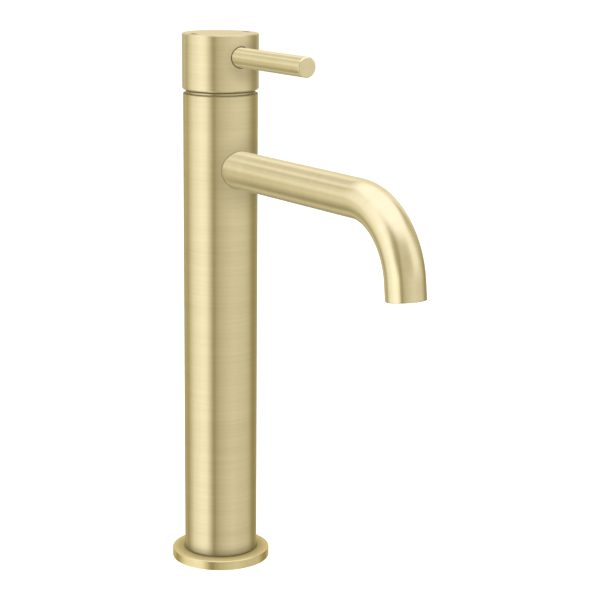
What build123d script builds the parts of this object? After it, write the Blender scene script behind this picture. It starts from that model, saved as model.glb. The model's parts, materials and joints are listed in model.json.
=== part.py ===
from build123d import *
import os

os.makedirs("parts", exist_ok=True)

# Sizes in mm: z is up from the counter, x points along the spout, y is the cold side.
column_r = 22.5
column_bore_r = 19.5
column_top = 293.0
ring_r = 30.3
ring_h = 5.7
gap_h = 2.2
cap_r = 23.0
cap_skirt_r = 21.1
cap_bore_r = 20.4
cap_bottom = column_top + gap_h
cap_top = 328.6
cap_roof = 3.2
lever_r = 5.9
lever_z = 315.7
lever_tip = 91.4
lever_seat = 20.6
lever_bore_r = 3.0
lever_hole_r = 6.4
spout_r = 11.3
spout_bore_r = 8.4
spout_z = 248.8
spout_straight = 141.1
spout_bend_r = 43.5
spout_bend = 83.0
spout_tail = 10.6
spigot_r = 9.9
riser_x = 3.0
riser_y = 9.8
riser_r = 4.0
inlet_r = 4.5
inlet_depth = 12.0
stud_r = 3.4
stud_depth = 16.0
valve_foot = 230.0
valve_waist = 240.0
seat_z = 246.0
valve_neck = 281.0
valve_top = 289.0
valve_cup_r = 15.5
flange_r = 19.4
pocket_r = 12.5
pivot_z = 272.0
stem_arm = 10.0
stem_half = 3.5
rotor_r = 11.2
port_r = 2.1
port_x = 2.95
port_y = 5.11
disc_r = 8.4
mark_r = 18.5
mark_w = 2.4
run = 0.3

with BuildPart() as base_ring:
    with BuildSketch():
        Circle(ring_r)
        Circle(column_bore_r + 0.4, mode=Mode.SUBTRACT)
    extrude(amount=ring_h)
    ring_rims = base_ring.edges().filter_by(GeomType.CIRCLE).sort_by(SortBy.RADIUS)[-2:]
    fillet(ring_rims.sort_by(Axis.Z)[-1], 0.8)
    with BuildSketch():
        Circle(26.2)
        Circle(23.0, mode=Mode.SUBTRACT)
    extrude(amount=1.6, mode=Mode.SUBTRACT)

with BuildPart() as base_ring_seal:
    with BuildSketch():
        Circle(26.1)
        Circle(23.1, mode=Mode.SUBTRACT)
    extrude(amount=1.6)

with BuildPart() as base_plug:
    with BuildSketch():
        Circle(flange_r)
    extrude(amount=22.0)
    chamfer(base_plug.edges().sort_by(Axis.Z)[0], 0.8)
    with BuildSketch(Plane.XY.offset(13.0)):
        Circle(flange_r + 1)
        Circle(17.6, mode=Mode.SUBTRACT)
    extrude(amount=2.0, mode=Mode.SUBTRACT)
    with BuildSketch():
        Circle(stud_r)
    extrude(amount=stud_depth, mode=Mode.SUBTRACT)
    with BuildSketch():
        with Locations((riser_x, riser_y), (riser_x, -riser_y)):
            Circle(inlet_r)
    extrude(amount=inlet_depth, mode=Mode.SUBTRACT)
    with BuildSketch(Plane.XY.offset(12.0)):
        with Locations((riser_x, riser_y), (riser_x, -riser_y)):
            Circle(3.0)
    extrude(amount=10.0, mode=Mode.SUBTRACT)
    with BuildSketch(Plane.XY.offset(14.5)):
        with Locations((riser_x, riser_y), (riser_x, -riser_y)):
            Circle(riser_r + 0.1)
    extrude(amount=8.0, mode=Mode.SUBTRACT)
    with BuildSketch(Plane.XY.offset(17.5)):
        with Locations((riser_x, riser_y), (riser_x, -riser_y)):
            Circle(5.2)
    extrude(amount=1.4, mode=Mode.SUBTRACT)

with BuildPart() as base_plug_o_ring:
    with BuildSketch(Plane.XZ):
        with Locations((18.55, 14.0)):
            Circle(0.92)
    revolve(axis=Axis.Z)

with BuildPart() as body_column:
    with BuildSketch(Plane.XY.offset(ring_h)):
        Circle(column_r)
        Circle(column_bore_r, mode=Mode.SUBTRACT)
    extrude(amount=column_top - ring_h)
    column_rims = body_column.edges().filter_by(GeomType.CIRCLE).sort_by(SortBy.RADIUS)[-2:]
    fillet(column_rims.sort_by(Axis.Z)[-1], 0.5)
    column_rims = body_column.edges().filter_by(GeomType.CIRCLE).sort_by(SortBy.RADIUS)[-2:]
    fillet(column_rims.sort_by(Axis.Z)[0], 1.2)
    with BuildSketch(Plane(origin=(10, 0, spout_z), x_dir=(0, 1, 0), z_dir=(1, 0, 0))):
        Circle(spigot_r)
    extrude(amount=15, mode=Mode.SUBTRACT)

with BuildPart() as riser_hot:
    with BuildSketch(Plane(origin=(riser_x, -riser_y, 14.7))):
        Circle(riser_r)
        Circle(riser_r - 1.0, mode=Mode.SUBTRACT)
    extrude(amount=222.0)

with BuildPart() as riser_cold:
    with BuildSketch(Plane(origin=(riser_x, riser_y, 14.7))):
        Circle(riser_r)
        Circle(riser_r - 1.0, mode=Mode.SUBTRACT)
    extrude(amount=222.0)

with BuildPart() as riser_o_rings:
    with Locations(
        (riser_x, riser_y, 18.2),
        (riser_x, -riser_y, 18.2),
        (riser_x, riser_y, 233.7),
        (riser_x, -riser_y, 233.7),
    ):
        Torus(4.6, 0.55)

# The cup holds the cartridge; mixed water fills the space round its waist and leaves by the spout.
with BuildPart() as valve_body:
    with BuildSketch(Plane.XY.offset(valve_foot)):
        Circle(flange_r)
    extrude(amount=valve_waist - valve_foot)
    with BuildSketch(Plane.XY.offset(valve_waist)):
        Circle(valve_cup_r)
    extrude(amount=valve_neck - valve_waist)
    with BuildSketch(Plane.XY.offset(valve_neck)):
        Circle(flange_r)
    extrude(amount=valve_top - valve_neck)
    with BuildSketch(Plane.XY.offset(seat_z)):
        Circle(pocket_r)
    extrude(amount=valve_top - seat_z, mode=Mode.SUBTRACT)
    with BuildSketch(Plane.XY.offset(282.0)):
        Circle(13.4)
    extrude(amount=7.0, mode=Mode.SUBTRACT)
    with BuildSketch(Plane.XY.offset(234.0)):
        Circle(flange_r + 1)
        Circle(17.6, mode=Mode.SUBTRACT)
    extrude(amount=2.0, mode=Mode.SUBTRACT)
    with BuildSketch(Plane.XY.offset(284.0)):
        Circle(flange_r + 1)
        Circle(17.6, mode=Mode.SUBTRACT)
    extrude(amount=2.0, mode=Mode.SUBTRACT)
    with BuildSketch(Plane.XY.offset(valve_foot)):
        with Locations((riser_x, riser_y), (riser_x, -riser_y)):
            Circle(riser_r + 0.1)
    extrude(amount=7.0, mode=Mode.SUBTRACT)
    with BuildSketch(Plane.XY.offset(233.0)):
        with Locations((riser_x, riser_y), (riser_x, -riser_y)):
            Circle(5.2)
    extrude(amount=1.4, mode=Mode.SUBTRACT)
    with BuildSketch(Plane.XY.offset(236.0)):
        with Locations((riser_x, riser_y), (riser_x, -riser_y)):
            Circle(3.0)
    extrude(amount=6.6, mode=Mode.SUBTRACT)
    with BuildSketch(Plane.XY.offset(239.0)):
        with Locations((port_x, port_y), (port_x, -port_y)):
            Circle(port_r)
    extrude(amount=8.0, mode=Mode.SUBTRACT)
    with BuildSketch(Plane.XY.offset(241.0)):
        Circle(2.8)
    extrude(amount=6.0, mode=Mode.SUBTRACT)
    with BuildSketch(Plane(origin=(-20, 0, 243.1), x_dir=(0, 1, 0), z_dir=(1, 0, 0))):
        Circle(2.5)
    extrude(amount=40, mode=Mode.SUBTRACT)

with BuildPart() as valve_body_o_rings:
    with Locations((0, 0, 235.0), (0, 0, 285.0)):
        Torus(18.55, 0.92)

with BuildPart() as cartridge_base:
    with BuildSketch(Plane.XY.offset(seat_z)):
        Circle(pocket_r - 0.2)
    extrude(amount=4.5)
    with BuildSketch(Plane.XY.offset(seat_z)):
        with Locations((port_x, port_y), (port_x, -port_y)):
            Circle(port_r)
        Circle(2.8)
    extrude(amount=5, mode=Mode.SUBTRACT)
    with BuildSketch(Plane.XY.offset(seat_z)):
        with Locations((port_x, port_y), (port_x, -port_y)):
            Circle(3.5)
            Circle(2.4, mode=Mode.SUBTRACT)
    extrude(amount=1.2, mode=Mode.SUBTRACT)

with BuildPart() as cartridge_port_seals:
    with Locations((port_x, port_y, seat_z + 0.6), (port_x, -port_y, seat_z + 0.6)):
        Torus(2.95, 0.53)

with BuildPart() as fixed_disc:
    with BuildSketch(Plane.XY.offset(seat_z + 4.5)):
        Circle(11.3)
        Circle(2.8, mode=Mode.SUBTRACT)
    extrude(amount=3.0)
    with BuildSketch(Plane.XY.offset(seat_z + 4.5)):
        SlotArc(CenterArc((0, 0), 5.9, 42, 36), 2.0)
        SlotArc(CenterArc((0, 0), 5.9, -78, 36), 2.0)
    extrude(amount=4.0, mode=Mode.SUBTRACT)

with BuildPart() as moving_disc:
    with BuildSketch(Plane.XY.offset(253.8)):
        Circle(disc_r)
    extrude(amount=3.0)
    with BuildSketch(Plane.XY.offset(253.8)):
        with Locations((-0.6, 0)):
            Circle(4.4)
    extrude(amount=1.8, mode=Mode.SUBTRACT)

with BuildPart() as disc_carrier:
    with BuildSketch(Plane.XY.offset(256.8)):
        Circle(disc_r)
    extrude(amount=3.2)
    with BuildSketch(Plane.XY.offset(260.0)):
        Rectangle(9.2, 10.4)
    extrude(amount=3.6)
    fillet(disc_carrier.edges().filter_by(Axis.Z), 0.8)
    with BuildSketch(Plane.XY.offset(259.5)):
        Rectangle(4.6, 4.8)
    extrude(amount=5.0, mode=Mode.SUBTRACT)

with BuildPart() as cartridge_housing:
    with BuildSketch(Plane.XY.offset(seat_z + 4.5)):
        Circle(12.4)
        Circle(rotor_r + run, mode=Mode.SUBTRACT)
    extrude(amount=31.5)
    with BuildSketch(Plane.XY.offset(280.4)):
        Circle(12.4)
        Circle(8.4 + run, mode=Mode.SUBTRACT)
    extrude(amount=1.6)

# The rotor turns in the housing, holds the cross pin and drives the carrier with two cheeks.
with BuildPart() as stem_rotor:
    with BuildSketch(Plane.XY.offset(264.0)):
        Circle(rotor_r)
    extrude(amount=16.0)
    with BuildSketch(Plane.XY.offset(280.0)):
        Circle(8.4)
    extrude(amount=3.4)
    with BuildSketch(Plane.XY.offset(260.4)):
        with Locations((0, 7.2), (0, -7.2)):
            Rectangle(11.0, 3.2)
    extrude(amount=3.6)
    with BuildSketch(Plane.XY.offset(262.0)):
        with Locations((-1.1, 0)):
            Rectangle(11.4, 2 * (stem_half + run))
    extrude(amount=23.0, mode=Mode.SUBTRACT)
    with BuildSketch(Plane(origin=(0, -9.2, pivot_z), x_dir=(1, 0, 0), z_dir=(0, 1, 0))):
        Circle(1.25)
    extrude(amount=18.4, mode=Mode.SUBTRACT)

with BuildPart() as stem_pin:
    with BuildSketch(Plane(origin=(0, -9.0, pivot_z), x_dir=(1, 0, 0), z_dir=(0, 1, 0))):
        Circle(1.25)
    extrude(amount=18.0)

with BuildPart() as cartridge_stem:
    with BuildSketch(Plane.XY.offset(pivot_z - 1)):
        Rectangle(2 * stem_half, 2 * stem_half)
    extrude(amount=320.5 - pivot_z + 1)
    chamfer(cartridge_stem.faces().sort_by(Axis.Z)[-1].edges(), 0.6)
    with BuildSketch(Plane(origin=(0, -stem_half, pivot_z), x_dir=(1, 0, 0), z_dir=(0, 1, 0))):
        Circle(3.8)
    extrude(amount=2 * stem_half)
    with BuildSketch(Plane.XY.offset(pivot_z - stem_arm)):
        Circle(1.5)
    extrude(amount=stem_arm)
    with Locations((0, 0, pivot_z - stem_arm)):
        Sphere(2.0)
    with BuildSketch(Plane(origin=(0, -5, pivot_z), x_dir=(1, 0, 0), z_dir=(0, 1, 0))):
        Circle(1.31)
    extrude(amount=10, mode=Mode.SUBTRACT)

with BuildPart() as cartridge_nut:
    with BuildSketch(Plane.XY.offset(282.0)):
        Circle(13.3)
        Circle(9.6, mode=Mode.SUBTRACT)
    extrude(amount=5.0)
    with BuildSketch(Plane.XY.offset(285.2)):
        with PolarLocations(12.6, 4):
            Rectangle(3.0, 3.2)
    extrude(amount=2.0, mode=Mode.SUBTRACT)

with BuildPart() as trim_ring:
    with BuildSketch(Plane.XY.offset(valve_top)):
        Circle(flange_r)
        Circle(15.0, mode=Mode.SUBTRACT)
    extrude(amount=column_top - valve_top)
    with BuildSketch(Plane.XY.offset(column_top)):
        Circle(20.9)
        Circle(15.0, mode=Mode.SUBTRACT)
    extrude(amount=1.7)
    chamfer(trim_ring.edges().sort_by(Axis.Z)[-1], 0.2)

with BuildPart() as handle_cap:
    with BuildSketch(Plane.XY.offset(cap_bottom)):
        Circle(cap_r)
    extrude(amount=cap_top - cap_bottom)
    fillet(handle_cap.edges().sort_by(Axis.Z)[-1], 0.7)
    chamfer(handle_cap.edges().sort_by(Axis.Z)[0], 0.8)
    with BuildSketch(Plane.XY.offset(cap_bottom)):
        Circle(cap_skirt_r)
    extrude(amount=5.0, mode=Mode.SUBTRACT)
    with BuildSketch(Plane.XY.offset(cap_bottom + 5.0)):
        Circle(cap_bore_r)
    extrude(amount=cap_top - cap_roof - cap_bottom - 5.0, mode=Mode.SUBTRACT)
    with BuildSketch(Plane.XY.offset(297.0)):
        Circle(7.2)
    extrude(amount=cap_top - cap_roof - 297.0)
    with BuildSketch(Plane(origin=(0, 0, lever_z), x_dir=(0, 1, 0), z_dir=(1, 0, 0))):
        Circle(8.2)
    extrude(amount=21.0)
    with BuildSketch(Plane.XY.offset(296.0)):
        Rectangle(2 * stem_half + 0.1, 2 * stem_half + 0.1)
    extrude(amount=25.0, mode=Mode.SUBTRACT)
    with BuildSketch(Plane(origin=(2, 0, lever_z), x_dir=(0, 1, 0), z_dir=(1, 0, 0))):
        Circle(lever_bore_r)
    extrude(amount=25.0, mode=Mode.SUBTRACT)
    with BuildSketch(Plane(origin=(lever_seat, 0, lever_z), x_dir=(0, 1, 0), z_dir=(1, 0, 0))):
        Circle(lever_hole_r)
    extrude(amount=5.0, mode=Mode.SUBTRACT)
    with BuildSketch(Plane.XY.offset(cap_top - 0.5)):
        SlotArc(CenterArc((0, 0), mark_r, 83, 14), mark_w)
        SlotArc(CenterArc((0, 0), mark_r, 263, 14), mark_w)
    extrude(amount=1.0, mode=Mode.SUBTRACT)

with BuildPart() as cold_mark:
    with BuildSketch(Plane.XY.offset(cap_top - 0.5)):
        SlotArc(CenterArc((0, 0), mark_r, 83, 14), mark_w)
    extrude(amount=0.5)

with BuildPart() as hot_mark:
    with BuildSketch(Plane.XY.offset(cap_top - 0.5)):
        SlotArc(CenterArc((0, 0), mark_r, 263, 14), mark_w)
    extrude(amount=0.5)

with BuildPart() as handle_lever:
    with BuildSketch(Plane(origin=(lever_seat, 0, lever_z), x_dir=(0, 1, 0), z_dir=(1, 0, 0))):
        Circle(lever_r)
    extrude(amount=lever_tip - lever_seat)
    chamfer(handle_lever.edges().sort_by(Axis.X)[-1], 0.55)
    with BuildSketch(Plane(origin=(9.6, 0, lever_z), x_dir=(0, 1, 0), z_dir=(1, 0, 0))):
        Circle(lever_bore_r - 0.05)
    extrude(amount=lever_seat - 9.6)
    chamfer(handle_lever.edges().sort_by(Axis.X)[0], 0.4)

with BuildPart() as handle_grub_screw:
    with BuildSketch(Plane(origin=(stem_half, 0, lever_z), x_dir=(0, 1, 0), z_dir=(1, 0, 0))):
        Circle(lever_bore_r - 0.05)
    extrude(amount=5.6)
    chamfer(handle_grub_screw.edges().sort_by(Axis.X)[0], 0.6)
    with BuildSketch(Plane(origin=(stem_half + 5.6, 0, lever_z), x_dir=(0, 1, 0), z_dir=(1, 0, 0))):
        RegularPolygon(1.44, 6)
    extrude(amount=-2.6, mode=Mode.SUBTRACT)

# The tube is swept along its centre line, coped to the column and bored along the same line.
# Its end leans a little forward, so the aerator stack is laid on the tilted outlet plane.
with BuildPart() as spout_tube:
    with BuildLine(Plane.XZ) as spout_line:
        l1 = Line((0, spout_z), (spout_straight, spout_z))
        l2 = JernArc(l1 @ 1, (1, 0), spout_bend_r, -spout_bend)
        l3 = Line(l2 @ 1, l2 @ 1 + (l2 % 1) * spout_tail)
    outlet = Plane(origin=l3 @ 1, x_dir=(0, 1, 0), z_dir=-(l3 % 1))
    with BuildSketch(Plane(origin=(0, 0, spout_z), x_dir=(0, 1, 0), z_dir=(1, 0, 0))):
        Circle(spout_r)
    sweep(path=spout_line.line)
    chamfer(spout_tube.edges().sort_by(Axis.Z)[0], 0.4)
    with BuildSketch(Plane.XY.offset(spout_z - 20)):
        Circle(column_r)
    extrude(amount=40, mode=Mode.SUBTRACT)
    with BuildSketch(Plane(origin=(19.6, 0, spout_z), x_dir=(0, 1, 0), z_dir=(1, 0, 0))):
        Circle(spigot_r)
    extrude(amount=10)
    with BuildSketch(Plane(origin=(0, 0, spout_z), x_dir=(0, 1, 0), z_dir=(1, 0, 0))):
        Circle(spout_bore_r)
    sweep(path=spout_line.line, mode=Mode.SUBTRACT)
    with BuildSketch(outlet):
        Circle(9.3)
    extrude(amount=9.0, mode=Mode.SUBTRACT)

with BuildPart() as aerator_housing:
    with BuildSketch(outlet.offset(0.6)):
        Circle(9.2)
        Circle(8.0, mode=Mode.SUBTRACT)
    extrude(amount=6.6)
    with BuildSketch(outlet.offset(0.6)):
        Circle(9.2)
        Circle(6.9, mode=Mode.SUBTRACT)
    extrude(amount=1.1)

with BuildPart() as aerator_insert:
    with BuildSketch(outlet.offset(1.7)):
        Circle(7.9)
        Circle(0.9, mode=Mode.SUBTRACT)
        with PolarLocations(2.8, 6):
            Circle(0.9, mode=Mode.SUBTRACT)
        with PolarLocations(5.4, 12):
            Circle(0.9, mode=Mode.SUBTRACT)
    extrude(amount=3.5)

with BuildPart() as aerator_screen:
    with BuildSketch(outlet.offset(5.3)):
        Circle(7.9)
        with GridLocations(2.0, 2.0, 5, 5):
            Rectangle(1.2, 1.2, mode=Mode.SUBTRACT)
    extrude(amount=0.8)

with BuildPart() as aerator_washer:
    with BuildSketch(outlet.offset(7.2)):
        Circle(9.2)
        Circle(7.2, mode=Mode.SUBTRACT)
    extrude(amount=1.8)

base_ring.part.label = "base_ring"
export_step(base_ring.part, "parts/base_ring.step")
base_ring_seal.part.label = "base_ring_seal"
export_step(base_ring_seal.part, "parts/base_ring_seal.step")
base_plug.part.label = "base_plug"
export_step(base_plug.part, "parts/base_plug.step")
base_plug_o_ring.part.label = "base_plug_o_ring"
export_step(base_plug_o_ring.part, "parts/base_plug_o_ring.step")
body_column.part.label = "body_column"
export_step(body_column.part, "parts/body_column.step")
riser_hot.part.label = "riser_hot"
export_step(riser_hot.part, "parts/riser_hot.step")
riser_cold.part.label = "riser_cold"
export_step(riser_cold.part, "parts/riser_cold.step")
riser_o_rings.part.label = "riser_o_rings"
export_step(riser_o_rings.part, "parts/riser_o_rings.step")
valve_body.part.label = "valve_body"
export_step(valve_body.part, "parts/valve_body.step")
valve_body_o_rings.part.label = "valve_body_o_rings"
export_step(valve_body_o_rings.part, "parts/valve_body_o_rings.step")
cartridge_base.part.label = "cartridge_base"
export_step(cartridge_base.part, "parts/cartridge_base.step")
cartridge_port_seals.part.label = "cartridge_port_seals"
export_step(cartridge_port_seals.part, "parts/cartridge_port_seals.step")
fixed_disc.part.label = "fixed_disc"
export_step(fixed_disc.part, "parts/fixed_disc.step")
moving_disc.part.label = "moving_disc"
export_step(moving_disc.part, "parts/moving_disc.step")
disc_carrier.part.label = "disc_carrier"
export_step(disc_carrier.part, "parts/disc_carrier.step")
cartridge_housing.part.label = "cartridge_housing"
export_step(cartridge_housing.part, "parts/cartridge_housing.step")
stem_rotor.part.label = "stem_rotor"
export_step(stem_rotor.part, "parts/stem_rotor.step")
stem_pin.part.label = "stem_pin"
export_step(stem_pin.part, "parts/stem_pin.step")
cartridge_stem.part.label = "cartridge_stem"
export_step(cartridge_stem.part, "parts/cartridge_stem.step")
cartridge_nut.part.label = "cartridge_nut"
export_step(cartridge_nut.part, "parts/cartridge_nut.step")
trim_ring.part.label = "trim_ring"
export_step(trim_ring.part, "parts/trim_ring.step")
handle_cap.part.label = "handle_cap"
export_step(handle_cap.part, "parts/handle_cap.step")
cold_mark.part.label = "cold_mark"
export_step(cold_mark.part, "parts/cold_mark.step")
hot_mark.part.label = "hot_mark"
export_step(hot_mark.part, "parts/hot_mark.step")
handle_lever.part.label = "handle_lever"
export_step(handle_lever.part, "parts/handle_lever.step")
handle_grub_screw.part.label = "handle_grub_screw"
export_step(handle_grub_screw.part, "parts/handle_grub_screw.step")
spout_tube.part.label = "spout_tube"
export_step(spout_tube.part, "parts/spout_tube.step")
aerator_housing.part.label = "aerator_housing"
export_step(aerator_housing.part, "parts/aerator_housing.step")
aerator_insert.part.label = "aerator_insert"
export_step(aerator_insert.part, "parts/aerator_insert.step")
aerator_screen.part.label = "aerator_screen"
export_step(aerator_screen.part, "parts/aerator_screen.step")
aerator_washer.part.label = "aerator_washer"
export_step(aerator_washer.part, "parts/aerator_washer.step")
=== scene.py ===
import json
import math
import bmesh
import bpy
import numpy as np
from mathutils import Matrix, Vector


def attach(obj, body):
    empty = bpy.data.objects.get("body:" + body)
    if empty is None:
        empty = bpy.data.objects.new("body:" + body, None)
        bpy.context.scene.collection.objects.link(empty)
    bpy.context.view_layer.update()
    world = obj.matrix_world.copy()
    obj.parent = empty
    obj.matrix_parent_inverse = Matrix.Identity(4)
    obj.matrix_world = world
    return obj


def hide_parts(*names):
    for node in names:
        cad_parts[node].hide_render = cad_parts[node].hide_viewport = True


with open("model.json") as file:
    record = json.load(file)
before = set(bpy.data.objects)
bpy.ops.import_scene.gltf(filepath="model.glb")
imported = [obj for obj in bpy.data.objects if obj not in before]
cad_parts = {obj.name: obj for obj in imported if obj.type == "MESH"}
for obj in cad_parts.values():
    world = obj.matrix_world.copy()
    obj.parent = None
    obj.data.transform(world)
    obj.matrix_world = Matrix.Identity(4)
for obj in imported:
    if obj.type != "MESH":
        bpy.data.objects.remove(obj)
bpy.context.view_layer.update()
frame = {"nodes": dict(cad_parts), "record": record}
scene = bpy.context.scene
scene.view_settings.view_transform = "Standard"
mm = 0.001
weldWithin = 1e-7  # metres

# The camera stands where the photograph was taken from: mm and degrees, with the clip distances in metres.
cameraSet = {"away": 1101.48, "side": 32.001, "height": 414.39, "turn": 2.544, "dip": 12.742,
             "roll": 0.526, "lens": 109.83, "sensor": 36.0, "clip": (0.05, 50.0)}


def placeCamera(s):
    # Forward comes from the turn and the dip; right and up are square to it, then rolled about it.
    side, aim = math.radians(s["side"]), math.radians(180 - s["side"] - s["turn"])
    dip, roll = math.radians(s["dip"]), math.radians(s["roll"])
    forward = Vector((math.cos(aim) * math.cos(dip), math.sin(aim) * math.cos(dip), -math.sin(dip)))
    right = forward.cross(Vector((0, 0, 1))).normalized()
    up = right.cross(forward)
    right, up = right * math.cos(roll) + up * math.sin(roll), up * math.cos(roll) - right * math.sin(roll)
    spot = Vector((s["away"] * math.cos(side), -s["away"] * math.sin(side), s["height"])) * mm
    camera = bpy.data.objects.new("photoCamera", bpy.data.cameras.new("photoCamera"))
    camera.data.lens, camera.data.sensor_width = s["lens"], s["sensor"]
    camera.data.clip_start, camera.data.clip_end = s["clip"]
    camera.matrix_world = Matrix.Translation(spot) @ Matrix((right, up, -forward)).transposed().to_4x4()
    scene.collection.objects.link(camera)
    scene.camera = camera


placeCamera(cameraSet)
print("camera placed")


def arc(centre, radius, start, end, count=7):
    # Points of a circle's arc: centre plus radius times (cos, sin) of angles in degrees.
    a = np.radians(np.linspace(start, end, count))
    return np.stack([centre[0] + radius * np.cos(a), centre[1] + radius * np.sin(a)], axis=1)


def straight(start, end, count):
    # Points in even steps from start to end.
    t = np.linspace(0, 1, count)[:, None]
    return np.array(start, float) * (1 - t) + np.array(end, float) * t


def rounded(corners, hold, sharpest=0.04):
    # A closed outline of corners (a, b, radius): each corner becomes an arc that touches both sides,
    # with one more point at the hold's length along each side so that flat faces stay flat.
    points = np.array([c[:2] for c in corners], float)
    out = []
    for here, before, after, corner in zip(points, np.roll(points, 1, 0), np.roll(points, -1, 0), corners):
        back = (before - here) / np.linalg.norm(before - here)
        on = (after - here) / np.linalg.norm(after - here)
        half = 0.5 * math.acos(np.clip(back @ on, -1, 1))
        radius = max(corner[2], sharpest)
        reach = radius / math.tan(half)
        middle = here + (back + on) / np.linalg.norm(back + on) * radius / math.sin(half)
        first, last = here + back * reach, here + on * reach
        a = math.degrees(math.atan2(*(first - middle)[::-1]))
        b = math.degrees(math.atan2(*(last - middle)[::-1]))
        b = a + (b - a + 180) % 360 - 180  # the short way round
        out += [[first + back * hold], arc(middle, radius, a, b), [last + on * hold]]
    return np.concatenate(out)


def along(profile):
    # Length run along a profile, point by point.
    return np.concatenate([[0], np.cumsum(np.linalg.norm(np.diff(profile, axis=0), axis=1))])


def onceRound(count):
    # Even angles once round, without the last one, which is the first again.
    return np.linspace(0, 2 * np.pi, count + 1)[:-1]


def turned(profile, a):
    # Each profile point (radius, height) is carried round the z axis through the angles.
    r, z = profile[:, 0, None], profile[:, 1, None]
    return np.stack([r * np.cos(a), r * np.sin(a), z + 0 * a], axis=2)


def turnedGrain(rows, run, streak):
    # Where a point lies in the brushing: x and y over the streak's length, and the run along the outline.
    return np.stack([rows[..., 0] / streak, rows[..., 1] / streak, run + 0 * rows[..., 0]], axis=2)


def gridFaces(rows, columns, shut, start=0):
    # Quads between neighbouring rows of rings; a shut grid also joins the last row to the first.
    # A corner's UV is its share of the ring and its row.
    i, j = np.meshgrid(np.arange(rows if shut else rows - 1), np.arange(columns), indexing="ij")
    here, below = i * columns, (i + 1) % rows * columns
    onward = (j + 1) % columns
    quads = np.stack([here + j, here + onward, below + onward, below + j], axis=2)
    u = np.stack([j, j + 1, j + 1, j], axis=2) / columns
    v = np.stack([i, i, i + 1, i + 1], axis=2)
    return quads + start, np.stack([u, v], axis=3)


def shell(name, points, quads, uv, grain, body, nodes, material):
    # One closed skin of quads, given in mm: doubles are merged, and the faces are turned outwards by the sign
    # of the volume, the sum over all faces of a . (b x c + c x d).
    p, q, w = points.reshape(-1, 3) * mm, quads.reshape(-1, 4), uv.reshape(-1, 4, 2)
    a, b, c, d = (p[q[:, k]] for k in range(4))
    if np.sum(a * (np.cross(b, c) + np.cross(c, d))) < 0:
        q, w = q[:, ::-1], w[:, ::-1]
    mesh = bpy.data.meshes.new(name)
    mesh.vertices.add(len(p))
    mesh.vertices.foreach_set("co", p.astype(np.float32).ravel())
    mesh.loops.add(q.size)
    mesh.loops.foreach_set("vertex_index", q.astype(np.int32).ravel())
    mesh.polygons.add(len(q))
    mesh.polygons.foreach_set("loop_start", np.arange(0, q.size, 4, dtype=np.int32))
    mesh.update(calc_edges=True)
    layer = mesh.uv_layers.new(name="turn")
    layer.data.foreach_set("uv", w.astype(np.float32).ravel())
    brush = mesh.attributes.new("grain", "FLOAT_VECTOR", "POINT")
    brush.data.foreach_set("vector", grain.astype(np.float32).ravel())
    welded = bmesh.new()
    welded.from_mesh(mesh)
    bmesh.ops.remove_doubles(welded, verts=welded.verts, dist=weldWithin)
    welded.to_mesh(mesh)
    welded.free()
    mesh.validate()
    mesh.polygons.foreach_set("use_smooth", np.ones(len(mesh.polygons), bool))
    mesh.materials.append(material)
    piece = bpy.data.objects.new(name, mesh)
    scene.collection.objects.link(piece)
    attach(piece, body)
    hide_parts(*nodes)
    piece.visible_glossy = False  # the brass shows the studio round it, not its neighbours


def node(tree, kind, values=None, **props):
    # A node of the given kind, with its settings and its socket values or links.
    made = tree.nodes.new(kind)
    for key, value in props.items():
        setattr(made, key, value)
    for key, value in (values or {}).items():
        socket = made.inputs[key]
        if isinstance(value, bpy.types.NodeSocket):
            tree.links.new(value, socket)
        else:
            socket.default_value = value
    return made


def newTree(name):
    # A material with an empty node tree.
    material = bpy.data.materials.new(name)
    material.use_nodes = True
    material.node_tree.nodes.clear()
    return material, material.node_tree


def surface(tree, shader):
    # The shader becomes what the material shows.
    node(tree, "ShaderNodeOutputMaterial", {"Surface": shader.outputs[0]})


def objectPlace(tree):
    # A point's place on its piece, in metres.
    return node(tree, "ShaderNodeTexCoord").outputs["Object"]


def maths(tree, operation, *values):
    # One step of arithmetic on one or two values.
    return node(tree, "ShaderNodeMath", dict(enumerate(values)), operation=operation).outputs[0]


def noise(tree, place, scale, detail=2.0, rough=0.5):
    # Cloudy noise about 0.5, with as many waves to a unit of the place as the scale says.
    return node(tree, "ShaderNodeTexNoise", {"Vector": place, "Scale": scale, "Detail": detail,
                                             "Roughness": rough}).outputs["Fac"]


def bumped(tree, height, strength, deep):
    # The normal leaned by the slope of a height, which is deep metres from 0 to 1.
    return node(tree, "ShaderNodeBump", {"Height": height, "Strength": strength,
                                         "Distance": deep}).outputs["Normal"]


def ramp(tree, factor, stops, smooth="EASE"):
    # A colour ramp through (place, colour) stops: first all the places, then the colours.
    made = node(tree, "ShaderNodeValToRGB", {"Fac": factor})
    made.color_ramp.interpolation = smooth
    elements = made.color_ramp.elements
    stops = sorted(stops, key=lambda stop: stop[0])
    while len(elements) < len(stops):
        elements.new(0.5)  # its place is set below
    for element, (place, colour) in zip(elements, stops):
        element.position = place
    for element, (place, colour) in zip(elements, stops):
        element.color = (*colour, 1)
    return made.outputs["Color"]


def spread(tree, value, low, high, fromLow=0.3, fromHigh=0.7, kind="LINEAR"):
    # The value from fromLow to fromHigh is spread from low to high and held past both ends.
    made = node(tree, "ShaderNodeMapRange", {"Value": value, "From Min": fromLow, "From Max": fromHigh,
                                             "To Min": low, "To Max": high}, interpolation_type=kind)
    return made.outputs["Result"]


def twoTone(tree, value, shade, light, low=0.3, high=0.7):
    # The shade up to low, the light from high on, and an even blend between.
    return ramp(tree, value, [(low, shade), (high, light)], "LINEAR")


def mixed(tree, factor, first, second):
    # The first colour where the factor is 0, the second where it is 1.
    colourA, colourB, colourOut = 6, 7, 2  # the Mix node's colour sockets
    made = node(tree, "ShaderNodeMix", {"Factor": factor, colourA: first, colourB: second}, data_type="RGBA")
    return made.outputs[colourOut]


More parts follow.
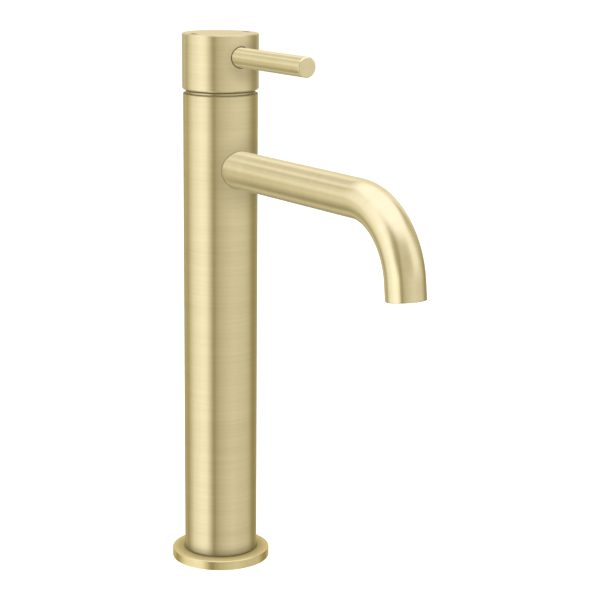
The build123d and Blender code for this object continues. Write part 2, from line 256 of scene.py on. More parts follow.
def lineDistance(tree, parts, axes, spot=(0.0, 0.0)):
    # Distance from a line: the root of the sum of the squares of two coordinates, counted from its spot.
    offs = [maths(tree, "SUBTRACT", parts[axis], at) for axis, at in zip(axes, spot)]
    squares = [maths(tree, "MULTIPLY", off, off) for off in offs]
    return maths(tree, "SQRT", maths(tree, "ADD", *squares))


def paintedShadeStep(tree, parts, corner):
    # Painted shade: a smooth step from dark at the corner's start to 1 at its end, across YZ from a line
    # along x, across XY from the z axis, or across Z, which is height. A front corner leaves the half at
    # negative x clear.
    across = corner["across"]
    spot = corner.get("spot", (0.0, 0.0))
    away = parts["Z"] if across == "Z" else lineDistance(tree, parts, across, spot)
    shade = spread(tree, away, corner["dark"], 1.0, corner["start"], corner["end"], "SMOOTHSTEP")
    if corner.get("front"):
        shade = maths(tree, "MAXIMUM", shade, maths(tree, "LESS_THAN", parts["X"], 0.0))
    return shade


def brushedBrass(name, look):
    # Turned and brushed round: fine streaks run round the piece, so highlights stretch along it.
    # Near contacts, gaps and under parts a painted shade turns the colour to a dark brown non-metal, by the
    # product of their shades.
    material, tree = newTree(name)
    grain = node(tree, "ShaderNodeAttribute", attribute_name="grain").outputs["Vector"]
    parts = node(tree, "ShaderNodeSeparateXYZ", {"Vector": objectPlace(tree)}).outputs
    fine = noise(tree, grain, look["fine"], look["fineDetail"], look["fineRough"])
    slow = noise(tree, grain, look["slow"])
    blend = spread(tree, maths(tree, "ADD", fine, slow), 0.0, 1.0, *look["blend"])
    brushed = twoTone(tree, blend, look["shade"], look["light"], 0.0, 1.0)
    # painted shade: clear falls below 1 where shade is painted
    clear = 1.0
    for corner in look.get("corners", []):
        clear = maths(tree, "MULTIPLY", clear, paintedShadeStep(tree, parts, corner))
    rough = spread(tree, fine, *look["rough"])
    if "dull" in look:  # rougher near the z axis
        dull = look["dull"]
        more = spread(tree, lineDistance(tree, parts, "XY"), dull["more"], 0.0, dull["start"], dull["end"])
        rough = maths(tree, "ADD", rough, more)
    tangent = node(tree, "ShaderNodeTangent", direction_type="UV_MAP", uv_map="turn").outputs["Tangent"]
    # the painted shade mixes the dark brown tone into the colour and takes the metal away
    surface(tree, node(tree, "ShaderNodeBsdfPrincipled", {
        "Base Color": mixed(tree, clear, (*look["paintedShadeTone"], 1), brushed), "Metallic": clear,
        "Roughness": rough, "Specular IOR Level": 0.0, "Specular Tint": (*look["rim"], 1),
        "Anisotropic": look["stretch"], "Anisotropic Rotation": look["stretchTurn"], "Tangent": tangent,
        "Normal": bumped(tree, fine, look["bump"], look["bumpDeep"])}))
    return material


# Brass finishes. Fine and slow are waves to a mm across the brushing; starts, ends and spots are in metres.
# A finish keeps its roughness on one side of 0.274, because the denoiser treats the two sides differently.
# paintedShadeTone is the dark brown of the painted shade
brassLook = {"shade": (0.555, 0.471, 0.253), "light": (0.629, 0.537, 0.298), "rim": (0.65, 0.58, 0.40),
             "paintedShadeTone": (0.13, 0.103, 0.045), "fine": 0.9, "fineDetail": 4.0, "fineRough": 0.65, "slow": 0.09,
             "blend": (0.7, 1.3), "bump": 0.010, "bumpDeep": 0.00004, "rough": (0.277, 0.298),
             "stretch": 1.0, "stretchTurn": 0.25}
# painted light: spout and lever get a lighter, cooler copy of the brass, for the brighter reflections they
# show
litTubeLook = dict(brassLook, shade=(0.605, 0.517, 0.292), light=(0.648, 0.558, 0.325), rim=(0.86, 0.80, 0.62),
                fine=1.5, rough=(0.165, 0.19), stretch=0.8)
litSpoutLook = dict(litTubeLook, dull={"start": 0.0225, "end": 0.050, "more": 0.078})
# painted light and shade: the lever is a still lighter copy of the brass, with painted shade where it enters
# the cap
litLeverLook = dict(litTubeLook, shade=(0.63, 0.538, 0.304), light=(0.674, 0.58, 0.338), corners=[
    {"across": "XY", "start": 0.0228, "end": 0.0232, "dark": 0.35}])
# painted shade on the cap: a dark line round the lever's hole and a soft shade round the lever at the front
capLook = dict(brassLook, rim=(0.73, 0.67, 0.53), corners=[
    {"across": "YZ", "spot": (0.0, 0.3157), "start": 0.0064, "end": 0.0068, "dark": 0.3, "front": True},
    {"across": "YZ", "spot": (0.004, 0.3125), "start": 0.0064, "end": 0.0162, "dark": 0.78, "front": True}])
# painted shade on the base ring: a dark line against the column, and its top darker towards the column
ringLook = dict(brassLook, shade=(0.55, 0.45, 0.215), light=(0.61, 0.51, 0.25), rim=(0.82, 0.74, 0.5),
                rough=(0.22, 0.265), stretch=0.8, corners=[
                    {"across": "XY", "start": 0.0226, "end": 0.0237, "dark": 0.5},
                    {"across": "XY", "start": 0.0226, "end": 0.0312, "dark": 0.6}])
# painted shade: the trim ring in the gap under the cap is a darker copy of the brass, with painted shadow
# under the cap and a dark line at its foot
shadedGapLook = dict(brassLook, shade=(0.46, 0.386, 0.202), light=(0.52, 0.436, 0.232), rough=(0.22, 0.26),
               stretch=0.8, corners=[
                   {"across": "Z", "start": 0.2930, "end": 0.2936, "dark": 0.12},
                   {"across": "Z", "start": 0.2946, "end": 0.2938, "dark": 0.2}])
# painted shade on the column: a dark line round the spout's root, a soft shadow under the spout, shade at the
# foot, and a dark line at the top edge under the trim ring
columnLook = dict(brassLook, corners=[
    {"across": "YZ", "spot": (0.0, 0.2488), "start": 0.0113, "end": 0.0119, "dark": 0.55, "front": True},
    {"across": "YZ", "spot": (0.009, 0.2460), "start": 0.0113, "end": 0.0310, "dark": 0.78, "front": True},
    {"across": "Z", "start": 0.0057, "end": 0.0080, "dark": 0.64},
    {"across": "Z", "start": 0.0057, "end": 0.0132, "dark": 0.56},
    {"across": "Z", "start": 0.2929, "end": 0.2922, "dark": 0.35}])
bodyBrass = brushedBrass("bodyBrass", capLook)
columnBrass = brushedBrass("columnBrass", columnLook)
litTubeBrass = brushedBrass("litTubeBrass", litSpoutLook)
litLeverBrass = brushedBrass("litLeverBrass", litLeverLook)
ringBrass = brushedBrass("ringBrass", ringLook)
shadedGapBrass = brushedBrass("shadedGapBrass", shadedGapLook)
print("brass finishes mixed")


def turnedPiece(name, corners, s, body, nodes, material):
    # A turned piece: its rounded outline goes round the z axis, and the grain is counted along the outline.
    profile = rounded(corners, s["hold"])
    rows = turned(profile, onceRound(s["around"]))
    quads, uv = gridFaces(len(profile), s["around"], True)
    grain = turnedGrain(rows, along(profile)[:, None], s["streak"])
    shell(name, rows, quads, uv, grain, body, nodes, material)


columnSet = {"radius": 22.5, "bore": 19.5, "foot": 5.7, "top": 293.0, "topEdge": 0.5, "footEdge": 1.2,
             "boreTopEdge": 0.2, "boreFootEdge": 0.1, "hold": 0.25, "around": 384, "streak": 30.0}


def makeColumn(s):
    # A tube: the outline of its wall, outside up, over the rim and down the bore, goes round the z axis.
    corners = [(s["radius"], s["foot"], s["footEdge"]), (s["radius"], s["top"], s["topEdge"]),
               (s["bore"], s["top"], s["boreTopEdge"]), (s["bore"], s["foot"], s["boreFootEdge"])]
    turnedPiece("columnTube", corners, s, "tap", ["body_column"], columnBrass)


ringSet = {"radius": 30.3, "bore": 19.9, "height": 5.7, "edge": 0.8, "footEdge": 0.04, "innerEdge": 0.1,
           "grooveIn": 23.0, "grooveOut": 26.2, "grooveDeep": 1.6, "hold": 0.12, "around": 384,
           "streak": 30.0}


def makeBaseRing(s):
    # A flat ring: its outline, with the seal's groove in the underside, goes round the z axis.
    inside = [(s["bore"], s["height"]), (s["bore"], 0), (s["grooveIn"], 0), (s["grooveIn"], s["grooveDeep"]),
              (s["grooveOut"], s["grooveDeep"]), (s["grooveOut"], 0)]
    corners = [(s["radius"], 0, s["footEdge"]), (s["radius"], s["height"], s["edge"]),
               *((r, z, s["innerEdge"]) for r, z in inside)]
    turnedPiece("baseRing", corners, s, "tap", ["base_ring"], ringBrass)


trimSet = {"radius": 20.9, "bore": 15.0, "plug": 19.4, "foot": 289.0, "shoulder": 293.0, "top": 294.7,
           "edge": 0.25, "boreEdge": 0.2, "innerEdge": 0.1, "hold": 0.12, "around": 288, "streak": 30.0}


def makeTrimRing(s):
    # A stepped ring: a flange on the column's rim and a plug in its bore, as one outline round the z axis.
    inner = s["innerEdge"]
    corners = [(s["radius"], s["shoulder"], inner), (s["radius"], s["top"], s["edge"]),
               (s["bore"], s["top"], s["boreEdge"]), (s["bore"], s["foot"], inner),
               (s["plug"], s["foot"], inner), (s["plug"], s["shoulder"], inner)]
    turnedPiece("trimRing", corners, s, "tap", ["trim_ring"], shadedGapBrass)


makeColumn(columnSet)
makeBaseRing(ringSet)
makeTrimRing(trimSet)
print("column, base ring and trim ring turned")

leverSet = {"radius": 5.9, "height": 315.7, "seat": 20.6, "seatCut": 0.4, "tip": 91.4, "tipCut": 0.55,
            "tipSoft": 0.04, "tipHold": 0.05, "hold": 0.3, "rodStart": 1.0, "rodRings": 12, "tipRing": 2.5,
            "hole": 6.4, "around": 192, "streak": 12.0}
# The marks and their slots in the cap. Half is half the angle of a mark's middle arc; the edge is its rounded
# rim, as inset from the slot's side and height from the cap's top.
markSet = {"radius": 18.5, "half": 7.0, "width": 2.4, "deep": 0.5, "slotWall": 0.12, "slotBand": 1.6,
           "bed": 0.02, "footInset": 0.07, "footSoft": 0.04, "gap": 0.03,
           "edge": [(0.03, -0.12), (0.09, -0.03), (0.25, 0)], "sideSteps": 48, "endSteps": 16,
           "hot": -90.0, "cold": 90.0}
capSet = {"radius": 23.0, "skirt": 21.1, "bore": 20.4, "foot": 295.2, "top": 328.6, "roof": 3.2, "edge": 0.7,
          "footCut": 0.8, "recess": 5.0, "roofEdge": 0.6, "boss": 7.2, "bossFoot": 297.0, "bossCut": 0.5,
          "soft": 0.1, "hold": 0.3, "topHold": 0.2, "topSteps": (5, 33, 3), "edgeSteps": 9, "roofSteps": 5,
          "window": 9.0, "windowSteps": 41, "windowRings": 10, "holeEdge": 0.2, "holeSteps": (15, 90, 6),
          "underWindow": 2.0, "around": 512, "streak": 30.0,
          # share of the hole's radius, and rise from the lever's seat
          "holeFloor": [(1.0, 0.3), (1.0, 0), (0.96875, 0), (0.46875, 0), (0, 0)]}


def slotDepth(r, a, s, centre):
    # Signed distance to a bent slot: from the middle arc, or from its end points past the ends;
    # less half the width.
    off = (np.degrees(a) - centre + 180) % 360 - 180
    past = np.radians(np.clip(np.abs(off) - s["half"], 0, None))
    return np.hypot(r * np.cos(past) - s["radius"], r * np.sin(past)) - s["width"] / 2


def capOutline(s, lever, mark):
    # Half the cup's section, from the middle of the top over the rim, down the wall with the window's rows,
    # in under the foot and up the bore to the boss. Gives how many rows the flat top has, how many come
    # before the window, and the outline.
    rim, top, foot, cut, edge = s["radius"], s["top"], s["foot"], s["footCut"], s["edge"]
    skirt, bore, boss, soft, hold = s["skirt"], s["bore"], s["boss"], s["soft"], s["hold"]
    high, low = lever["height"] + s["window"], lever["height"] - s["window"]
    slotIn, slotOut = mark["radius"] - mark["slotBand"], mark["radius"] + mark["slotBand"]
    middleSteps, slotSteps, rimSteps = s["topSteps"]
    flat = np.concatenate([straight((0, top), (slotIn - hold, top), middleSteps),
                           straight((slotIn, top), (slotOut, top), slotSteps),
                           straight((slotOut + hold, top), (rim - edge - s["topHold"], top), rimSteps)])
    over = np.concatenate([flat, arc((rim - edge, top - edge), edge, 90, 0, s["edgeSteps"]),
                           [(rim, top - edge - hold)]])
    recess = foot + s["recess"]
    cutSide, cutEnd = 0.3 * soft, 0.5 * soft  # the chamfer's corners are softened too
    under = [(rim, low - s["underWindow"]), (rim, foot + cut + 4 * soft), (rim, foot + cut + soft),
             (rim - cutSide, foot + cut - cutEnd), (rim - cut + cutEnd, foot + cutSide),
             (rim - cut - soft, foot), (skirt + soft, foot), (skirt, foot + soft),
             (skirt, recess), (bore + soft, recess), (bore, recess + soft)]
    bend, roof = s["roofEdge"], top - s["roof"]
    inside = np.concatenate([arc((bore - bend, roof - bend), bend, 0, 90, s["roofSteps"]),
                             arc((boss + bend, roof - bend), bend, 90, 180, s["roofSteps"]),
                             [(boss, s["bossFoot"] + s["bossCut"]), (boss - s["bossCut"], s["bossFoot"]),
                              (0, s["bossFoot"])]])
    wall = straight((rim, high), (rim, low), s["windowSteps"])
    return len(flat), len(over), np.concatenate([over, wall, under, inside])


def makeCap(s, lever, mark):
    # A closed cup: its outline goes round the z axis; on top the two bent slots are pressed in, and round the
    # lever a window in the wall is filled by rings that shrink from its frame to the hole, on
    # x = root(radius^2 - y^2), then over the hole's rounded edge and in to its floor.
    rim, count, streak = s["radius"], s["around"], s["streak"]
    topRows, first, profile = capOutline(s, lever, mark)
    rows = turned(profile, onceRound(count))
    flat = rows[:topRows]
    turn, radial = np.arctan2(flat[..., 1], flat[..., 0]), np.hypot(flat[..., 0], flat[..., 1])
    for centre in (mark["hot"], mark["cold"]):
        sunk = np.clip(0.5 - slotDepth(radial, turn, mark, centre) / mark["slotWall"], 0, 1)
        flat[..., 2] -= sunk * mark["deep"]
    quads, uv = gridFaces(len(profile), count, False)
    run = along(profile)
    grain = turnedGrain(rows, run[:, None], streak)
    # the flat top is brushed straight across the lever
    uv[:topRows - 1] = rows.reshape(-1, 3)[quads[:topRows - 1]][..., [1, 0]]
    grain[:topRows] = np.stack([flat[..., 0], flat[..., 1] / streak, 0 * radial], axis=2)
    # the window's frame, as rows and columns of the grid
    last = first + s["windowSteps"] - 1
    half = int(math.ceil(math.asin(s["window"] / rim) / (2 * math.pi / count)))
    i, j = np.arange(len(profile) - 1)[:, None], np.arange(count)[None, :]
    keep = ~((i >= first) & (i < last) & ((j < half) | (j >= count - half)))
    across, down = np.arange(-half, half), np.arange(first, last)
    loopI = np.concatenate([0 * across + first, down, 0 * across + last, down[::-1] + 1])
    loopJ = np.concatenate([across, 0 * down + half, -across, 0 * down - half]) % count
    y, z = rows[loopI, loopJ, 1], rows[loopI, loopJ, 2] - lever["height"]
    angle = np.arctan2(z, y)
    edge, hole = s["holeEdge"], lever["hole"]
    # rings on the wall, over the edge and in the hole
    t = np.linspace(0, 1, s["windowRings"])[:, None]
    wallY = (1 - t) * y + t * (hole + edge) * np.cos(angle)
    wallZ = (1 - t) * z + t * (hole + edge) * np.sin(angle)
    bend = np.radians(np.linspace(*s["holeSteps"]))[:, None]
    edgeR = hole + edge - edge * np.sin(bend)
    floorShare, floorRise = np.array(s["holeFloor"]).T[..., None]
    innerR = np.concatenate([edgeR, hole * floorShare])
    ringY = np.concatenate([wallY, innerR * np.cos(angle)])
    ringZ = np.concatenate([wallZ, innerR * np.sin(angle)])
    onWall = np.sqrt(rim * rim - ringY * ringY)
    drop = np.concatenate([0 * t, edge * (1 - np.cos(bend))])
    ringX = np.concatenate([onWall[:len(drop)] - drop, lever["seat"] + floorRise + 0 * ringY[len(drop):]])
    patch = np.stack([ringX, ringY, ringZ + lever["height"]], axis=2)
    points = np.concatenate([rows.reshape(-1, 3), patch.reshape(-1, 3)])
    patchQuads = gridFaces(len(patch), patch.shape[1], False, rows[..., 0].size)[0]
    corner = points[patchQuads]
    patchUv = np.stack([np.arctan2(corner[..., 1], corner[..., 0]) / (2 * np.pi), -corner[..., 2]], axis=3)
    patchGrain = turnedGrain(patch, run[first] + profile[first, 1] - patch[..., 2], streak)
    shell("handleCap", points, np.concatenate([quads[keep], patchQuads.reshape(-1, 4)]),
          np.concatenate([uv[keep], patchUv.reshape(-1, 4, 2)]),
          np.concatenate([grain.reshape(-1, 3), patchGrain.reshape(-1, 3)]),
          "handle", ["handle_cap"], bodyBrass)


def makeLever(s):
    # Rings round the x axis through (radius, x): from the back face out along the rod to the front face.
    r, seat, tip, cut, soft, hold = s["radius"], s["seat"], s["tip"], s["tipCut"], s["tipSoft"], s["tipHold"]
    profile = np.concatenate([
        [(0, seat), (r - s["seatCut"], seat), (r, seat + s["seatCut"])],
        straight((r, seat + s["rodStart"]), (r, tip - cut - s["hold"]), s["rodRings"]),
        [(r, tip - cut - hold), (r - soft, tip - cut + soft), (r - cut + soft, tip - soft),
         (r - cut - hold, tip), (r - cut - s["hold"], tip), (s["tipRing"], tip), (0, tip)]])
    a = onceRound(s["around"])
    radius, x = profile[:, 0, None], profile[:, 1, None]
    rows = np.stack([x + 0 * a, radius * np.cos(a), s["height"] + radius * np.sin(a)], axis=2)
    quads, uv = gridFaces(len(profile), len(a), False)
    grain = turnedGrain(rows[..., 1:], along(profile)[:, None], s["streak"])
    shell("pinLever", rows, quads, uv, grain, "handle", ["handle_lever"], litLeverBrass)


makeCap(capSet, leverSet, markSet)
makeLever(leverSet)
print("handle cap and lever turned")

spoutSet = {"radius": 11.3, "bore": 8.4, "height": 248.8, "straight": 141.1, "bend": 43.5, "angle": 83.0,
            "tail": 10.6, "column": 22.5, "rootEdge": 0.35, "rootSteps": 7, "rodStart": 26.0, "rodRings": 40,
            "bendRings": 73, "boreRings": 8, "boreBendRings": 37, "tailHold": 0.4, "lipEdge": 0.4,
            "lipHold": 0.3, "lipSoft": 0.12, "boreSoft": 0.2, "counterbore": 9.3, "counterDeep": 9.0,
            "around": 192, "streak": 15.0}


def makeSpout(s):
    # Rings square to a centre line: straight along x, a bend, then straight on to the outlet; outside out,
    # inside back. The first rings and the last lie on the column: there the run starts at
    # root(column^2 - (radius cos a)^2).
    r, bore, bend, sweep, rod = s["radius"], s["bore"], s["bend"], math.radians(s["angle"]), s["straight"]
    bendEnd = rod + bend * sweep
    total = bendEnd + s["tail"]
    edge, lip, counter = s["rootEdge"], s["lipEdge"], s["counterbore"]
    tilt = np.radians(np.linspace(90, 0, s["rootSteps"]))
    outer = np.concatenate([np.linspace(s["rodStart"], rod, s["rodRings"]),
                            rod + bend * sweep * np.linspace(0, 1, s["bendRings"])[1:],
                            [bendEnd + s["tailHold"], total - lip - s["lipHold"], total - lip]])
    outlet = np.array([(r - s["lipSoft"], total - s["lipSoft"]), (r - lip, total),
                       (counter + s["boreSoft"], total), (counter, total - s["boreSoft"]),
                       (counter, total - s["counterDeep"]), (bore, total - s["counterDeep"])])
    inner = np.concatenate([rod + bend * sweep * np.linspace(1, 0, s["boreBendRings"]),
                            np.linspace(rod, s["rodStart"], s["boreRings"])[1:]])
    radius = np.concatenate([r - edge + edge * np.cos(tilt), 0 * outer + r, outlet[:, 0], 0 * inner + bore,
                             [bore]])
    place = np.concatenate([edge * (1 - np.sin(tilt)), outer, outlet[:, 1], inner, [0]])
    saddle = np.zeros((len(place), 1))  # 1 for the rings that lie on the column
    saddle[:len(tilt)] = saddle[-1] = 1
    a, ring = onceRound(s["around"]), radius[:, None]
    sideways, upward = ring * np.cos(a), ring * np.sin(a)
    root = np.sqrt(s["column"] ** 2 - sideways ** 2)
    run = place[:, None] + saddle * root
    swing = np.clip((run - rod) / bend, 0, sweep)
    beyond = np.clip(run - bendEnd, 0, None)
    x = np.minimum(run, rod) + bend * np.sin(swing) + beyond * np.cos(swing) + upward * np.sin(swing)
    z = s["height"] - bend + bend * np.cos(swing) - beyond * np.sin(swing) + upward * np.cos(swing)
    quads, uv = gridFaces(len(radius), len(a), True)
    length = along(np.stack([radius, place], axis=1))[:, None] + saddle * (root - s["column"])
    uv[..., 1] = length.reshape(-1)[quads]  # so that brushing stays square to the tube up to the curved root
    grain = turnedGrain(np.stack([sideways, upward], axis=2), length, s["streak"])
    shell("spoutTube", np.stack([x, sideways, z], axis=2), quads, uv, grain, "tap", ["spout_tube"],
          litTubeBrass)


makeSpout(spoutSet)
print("spout bent")

enamelSet = {"mottle": 900.0, "detail": 3.0, "rough": (0.4, 0.55), "bump": 0.05, "bumpDeep": 0.00005}


def enamel(name, colour, deep, s):
    # Baked enamel: slightly uneven colour with a low sheen.
    material, tree = newTree(name)
    mottle = noise(tree, objectPlace(tree), s["mottle"], s["detail"])
    surface(tree, node(tree, "ShaderNodeBsdfPrincipled", {
        "Base Color": twoTone(tree, mottle, deep, colour), "Roughness": spread(tree, mottle, *s["rough"]),
        "IOR": 1.0, "Normal": bumped(tree, mottle, s["bump"], s["bumpDeep"])}))
    return material


redEnamel = enamel("redEnamel", (0.21, 0.016, 0.005), (0.17, 0.012, 0.004), enamelSet)
blueEnamel = enamel("blueEnamel", (0.045, 0.07, 0.19), (0.035, 0.055, 0.15), enamelSet)


def makeMark(name, centre, nodeName, material, s, top):
    # A bent slot's outline at offset w from its middle arc, stacked: middle line, foot, rounded rim and
    # middle line again.
    side, end = np.linspace(-1, 1, s["sideSteps"]), np.ones(s["endSteps"])
    cap = np.linspace(0, np.pi, s["endSteps"] + 2)[1:-1]
    middle = np.radians(centre + s["half"] * np.concatenate([side, end, side[::-1], -end]))
    lean = np.concatenate([0 * side, cap, 0 * side + np.pi, cap + np.pi])
    half, foot = s["width"] / 2, s["bed"] - s["deep"]
    section = np.array([(half, foot), (s["footInset"], foot), (s["gap"], foot + s["footSoft"]), *s["edge"],
                        (half, 0)])  # inset and height
    w, z = half - section[:, :1], section[:, 1:] + top
    radial, sideways = s["radius"] + w * np.cos(lean), w * np.sin(lean)
    rows = np.stack([radial * np.cos(middle) - sideways * np.sin(middle),
                     radial * np.sin(middle) + sideways * np.cos(middle), z + 0 * radial], axis=2)
    quads, uv = gridFaces(len(w), rows.shape[1], False)
    shell(name, rows, quads, uv, rows, "handle", [nodeName], material)


makeMark("hotMark", markSet["hot"], "hot_mark", redEnamel, markSet, capSet["top"])
makeMark("coldMark", markSet["cold"], "cold_mark", blueEnamel, markSet, capSet["top"])
print("hot and cold marks laid")

innerGrain = {"detail": 4.0, "rough": 0.6, "bumpDeep": 0.00005}
innerLooks = {
    "raw_brass": {"shade": (0.60, 0.43, 0.17), "light": (0.74, 0.55, 0.25), "metal": 1.0,
                  "rough": (0.28, 0.42), "bump": 0.12, "scale": (300, 300, 1800)},
    "copper_pipe": {"shade": (0.62, 0.28, 0.15), "light": (0.78, 0.38, 0.22), "metal": 1.0,
                    "rough": (0.25, 0.4), "bump": 0.08, "scale": (1500, 1500, 90)},
    "seal_rubber": {"shade": (0.012, 0.012, 0.013), "light": (0.03, 0.03, 0.032), "metal": 0.0,
                    "rough": (0.55, 0.75), "bump": 0.2, "scale": (2500, 2500, 2500)},
    "cartridge_plastic": {"shade": (0.62, 0.62, 0.60), "light": (0.72, 0.72, 0.70), "metal": 0.0,
                          "rough": (0.38, 0.5), "bump": 0.1, "scale": (1600, 1600, 1600)},
    "disc_ceramic": {"shade": (0.78, 0.77, 0.74), "light": (0.86, 0.85, 0.82), "metal": 0.0,
                     "rough": (0.12, 0.22), "bump": 0.03, "scale": (1200, 1200, 1200)},
    # painted shade: the steel is darker than bare steel, as if in the shade inside the tap
    "stainless_steel": {"shade": (0.26, 0.26, 0.25), "light": (0.34, 0.34, 0.33), "metal": 1.0,
                        "rough": (0.30, 0.42), "bump": 0.08, "scale": (700, 700, 2400)},
}


def innerFinish(name, look, s):
    # A plain working finish for the pieces inside: two tones and a fine grain from object coordinates.
    material, tree = newTree(name)
    placed = node(tree, "ShaderNodeMapping", {"Vector": objectPlace(tree), "Scale": look["scale"]})
    fine = noise(tree, placed.outputs["Vector"], 1.0, s["detail"], s["rough"])
    surface(tree, node(tree, "ShaderNodeBsdfPrincipled", {
        "Base Color": twoTone(tree, fine, look["shade"], look["light"]), "Metallic": look["metal"],
        "Roughness": spread(tree, fine, *look["rough"]),
        "Normal": bumped(tree, fine, look["bump"], s["bumpDeep"])}))
    return material


innerMaterials = {slot: innerFinish("finish_" + slot, look, innerGrain) for slot, look in innerLooks.items()}
for subpart in frame["record"]["subparts"]:
    if subpart["material_slot"] in innerMaterials:
        inside = frame["nodes"][subpart["node"]]
        for place in inside.material_slots:
            place.material = innerMaterials[subpart["material_slot"]]
        inside.visible_glossy = False
print("inner pieces finished:", len(innerMaterials), "finishes")

# Brightness of the paper tent round the set, where 1 is the white of the background: low and high on its
# wall by azimuth about +x in degrees, and on its crown by the place up the sheet. The sheet is rows of (share
# of the radius, height in mm, place up the sheet). Patches are in degrees and places up the sheet.
tentSet = {"radius": 2000.0, "around": 120, "gain": 2.2, "cool": {"low": 0.25, "high": 0.35, "crown": 0.40},
           "coolGreen": 0.15, "warm": (0.115, 0.55), "wallBlend": (0.34, 0.49), "crownBlend": (0.69, 0.80),
           "sheet": [(0.0005, -1500, 0.0), (0.7, -1500, 0.05), (1.0, -1200, 0.1), (1.0, -528, 0.18),
                     (1.0, -225, 0.25), (1.0, -10, 0.3), (1.0, 410, 0.4), (1.0, 773, 0.5), (1.0, 1762, 0.7),
                     (0.58, 2930, 0.9), (0.0005, 3050, 1.0)],
           "low": [(-180, 0.95), (-170, 0.86), (-158, 0.57), (-148, 0.67), (-138, 0.99), (-125, 1.43),
                   (-108, 1.50), (-93, 1.60), (-79, 1.58), (-66, 1.03), (-58, 0.55), (-52, 0.44), (-44, 0.73),
                   (-27, 0.92), (-12, 1.05), (6, 1.14), (30, 1.0), (55, 0.98), (68, 0.94), (77, 0.71),
                   (88, 0.55), (100, 0.52), (122, 0.92), (148, 0.76), (165, 0.78), (180, 0.95)],
           "high": [(-180, 1.17), (-164, 1.25), (-150, 0.94), (-140, 1.31), (-128, 1.50), (-97, 1.69),
                    (-83, 1.47), (-68, 0.71), (-53, 0.58), (-38, 0.89), (-8, 0.89), (8, 1.0), (22, 1.37),
                    (38, 1.47), (52, 1.37), (68, 0.95), (82, 0.8), (97, 0.81), (112, 1.41), (127, 1.26),
                    (148, 1.30), (156, 1.38), (174, 1.15), (180, 1.17)],
           "crown": [(0.70, 1.55), (0.80, 1.68), (0.90, 1.72), (1.0, 1.68)],
           "patches": [{"az": -164, "wide": 14, "up": 0.115, "tall": 0.05, "gain": -0.28},
                       {"az": 147, "wide": 22, "up": 0.42, "tall": 0.08, "gain": 0.06},
                       {"az": -158, "wide": 30, "up": 0.41, "tall": 0.10, "gain": 0.30},
                       {"az": -180, "wide": 18, "up": 0.72, "tall": 0.07, "gain": -0.25},
                       {"az": 180, "wide": 36, "up": 0.72, "tall": 0.07, "gain": -0.30},
                       {"az": -62, "wide": 18, "up": 0.33, "tall": 0.08, "gain": 0.46},
                       {"az": -90, "wide": 24, "up": 0.33, "tall": 0.09, "gain": 0.13},
                       {"az": 74, "wide": 18, "up": 0.16, "tall": 0.06, "gain": 0.20},
                       {"az": 70, "wide": 22, "up": 0.28, "tall": 0.08, "gain": -0.20},
                       {"az": 146, "wide": 10, "up": 0.515, "tall": 0.045, "gain": -0.14},
                       {"az": 155, "wide": 12, "up": 0.61, "tall": 0.05, "gain": 0.24},
                       {"az": -165, "wide": 9, "up": 0.67, "tall": 0.05, "gain": 0.18},
                       {"az": -155, "wide": 9, "up": 0.61, "tall": 0.05, "gain": -0.22},
                       {"az": -146, "wide": 18, "up": 0.25, "tall": 0.13, "gain": 0.26},
                       {"az": 156, "wide": 14, "up": 0.14, "tall": 0.06, "gain": -0.30}]}


def tentTone(level, cool, s):
    # Shaded paper is a little warmer and bright paper a little cooler than white, all divided by the gain,
    # which the glow brings back.
    off = level - 1
    green, blue = (s["coolGreen"] * cool, cool) if off > 0 else s["warm"]
    return tuple(level / s["gain"] * np.array([1.0, 1 + green * off, 1 + blue * off]))


def turnShare(azimuth):
    # Place across the tent's sheet, 0 to 1, of an azimuth in degrees.
    return (azimuth + 180) / 360


def softStep(tree, value, middle, half, flat=0.25):
    # 1 near the middle, out to the flat share of the half width, and falling smoothly to 0 at the half width.
    away = maths(tree, "ABSOLUTE", maths(tree, "SUBTRACT", value, middle))
    return spread(tree, away, 0.0, 1.0, half, half * flat, "SMOOTHSTEP")


def stageSheet(name, rows, uv, material):
    # An open sheet in mm: one quad between each four neighbours of a grid of points, with the points' own UV.
    wide = rows.shape[1]
    i, j = np.meshgrid(np.arange(len(rows) - 1), np.arange(wide - 1), indexing="ij")
    here = i * wide + j
    quads = np.stack([here, here + 1, here + wide + 1, here + wide], axis=2).reshape(-1, 4)
    mesh = bpy.data.meshes.new(name)
    mesh.from_pydata((rows.reshape(-1, 3) * mm).tolist(), [], quads.tolist())
    layer = mesh.uv_layers.new(name="card")
    layer.data.foreach_set("uv", uv.reshape(-1, 2)[quads].astype(np.float32).ravel())
    mesh.materials.append(material)
    piece = bpy.data.objects.new(name, mesh)
    scene.collection.objects.link(piece)
    return piece


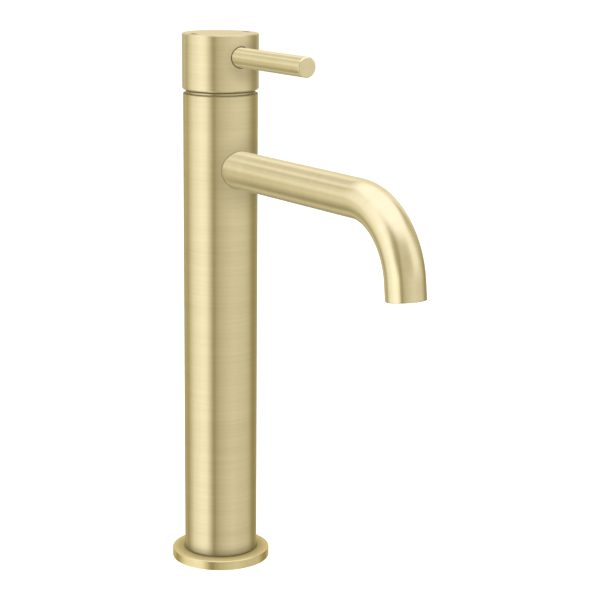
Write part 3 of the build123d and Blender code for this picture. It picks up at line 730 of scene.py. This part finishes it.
def makeTent(s):
    # A turned sheet that only reflections see: a bowl under the floor, a wall and a roof; u is azimuth and v
    # runs up the sheet. Each patch lights or dims the paper by its gain.
    material, tree = newTree("tentPaper")
    card = node(tree, "ShaderNodeUVMap", uv_map="card").outputs["UV"]
    parts = node(tree, "ShaderNodeSeparateXYZ", {"Vector": card}).outputs
    u, v = parts["X"], parts["Y"]
    low, high = (ramp(tree, u, [(turnShare(az), tentTone(level, s["cool"][key], s)) for az, level in s[key]])
                 for key in ("low", "high"))
    crown = ramp(tree, v, [(up, tentTone(level, s["cool"]["crown"], s)) for up, level in s["crown"]])
    wall = mixed(tree, spread(tree, v, 0.0, 1.0, *s["wallBlend"]), low, high)
    whole = mixed(tree, spread(tree, v, 0.0, 1.0, *s["crownBlend"]), wall, crown)
    strength = s["gain"]
    for patch in s["patches"]:
        overU = softStep(tree, u, turnShare(patch["az"]), patch["wide"] / 360)
        overV = softStep(tree, v, patch["up"], patch["tall"])
        part = spread(tree, maths(tree, "MULTIPLY", overU, overV), 1.0, 1 + patch["gain"], 0.0, 1.0)
        strength = maths(tree, "MULTIPLY", strength, part)
    surface(tree, node(tree, "ShaderNodeEmission", {"Color": whole, "Strength": strength}))
    share, height, rise = np.array(s["sheet"]).T
    profile = np.stack([share * s["radius"], height], axis=1)
    rows = turned(profile, np.linspace(-np.pi, np.pi, s["around"] + 1))
    uv = np.stack(np.meshgrid(np.arange(s["around"] + 1) / s["around"], rise), axis=2)
    tent = stageSheet("paperTent", rows, uv, material)
    tent.visible_camera = tent.visible_diffuse = tent.visible_shadow = False
    tent.visible_transmission = tent.visible_volume_scatter = False


floorSet = {"half": 6000.0, "lines": 5, "below": 0.05, "paper": 0.8, "fleck": 0.01, "fleckScale": 400.0,
            "white": 0.80}


def backgroundRay(tree):
    # 1 for what the camera sees, straight or in a reflection or through glass; 0 for the light on the object.
    path = node(tree, "ShaderNodeLightPath").outputs
    seen = maths(tree, "MAXIMUM", path["Is Camera Ray"], path["Is Glossy Ray"])
    return maths(tree, "MAXIMUM", seen, path["Is Transmission Ray"])


def makeFloor(s):
    # A flat square of even points: matt paper that takes the shadow, and a glow that background rays see.
    material, tree = newTree("floorPaper")
    fleck = noise(tree, objectPlace(tree), s["fleckScale"])
    tone = twoTone(tree, fleck, (s["paper"] - s["fleck"],) * 3, (s["paper"],) * 3, 0.0, 1.0)
    paper = node(tree, "ShaderNodeBsdfDiffuse", {"Color": tone})
    shine = maths(tree, "MULTIPLY", backgroundRay(tree), s["white"])
    glow = node(tree, "ShaderNodeEmission", {"Strength": shine})
    surface(tree, node(tree, "ShaderNodeAddShader", {0: paper.outputs[0], 1: glow.outputs[0]}))
    line = np.linspace(-s["half"], s["half"], s["lines"])
    x, y = np.meshgrid(line, line)
    rows = np.stack([x, y, 0 * x - s["below"]], axis=2)
    stageSheet("paperFloor", rows, 0 * rows[..., :2], material).visible_glossy = False


# Lamps in metres and watts; ambient is the world's light on the object, where 1 is the background's white.
lightSet = {"ambient": 0.35, "lamps": [
    {"name": "softAbove", "spot": (0.1, -0.1, 1.7), "aim": (0.06, 0, 0.1), "size": 1.6, "power": 9.0},
    {"name": "softLeft", "spot": (-0.9, -1.3, 1.1), "aim": (0.05, 0, 0.15), "size": 1.0, "power": 7.0},
    {"name": "softRight", "spot": (1.5, 0.9, 0.9), "aim": (0.05, 0, 0.15), "size": 1.2, "power": 5.0}]}


def makeLights(s):
    # Round lamps, each turned so that its -z looks from its spot to its aim, and an even white world.
    for lamp in s["lamps"]:
        light = bpy.data.objects.new(lamp["name"], bpy.data.lights.new(lamp["name"], "AREA"))
        light.data.shape, light.data.size, light.data.energy = "DISK", lamp["size"], lamp["power"]
        spot, aim = Vector(lamp["spot"]), Vector(lamp["aim"])
        light.location = spot
        light.rotation_euler = (aim - spot).to_track_quat("-Z", "Y").to_euler()
        light.visible_glossy = False
        scene.collection.objects.link(light)
    world = bpy.data.worlds.new("studioAir")
    scene.world = world
    world.use_nodes = True
    tree = world.node_tree
    tree.nodes.clear()
    level = spread(tree, backgroundRay(tree), s["ambient"], 1.0, 0.0, 1.0)
    air = node(tree, "ShaderNodeBackground", {"Color": (1, 1, 1, 1), "Strength": level})
    node(tree, "ShaderNodeOutputWorld", {"Surface": air.outputs[0]})


makeTent(tentSet)
makeFloor(floorSet)
makeLights(lightSet)
print("floor, tent and lights set")
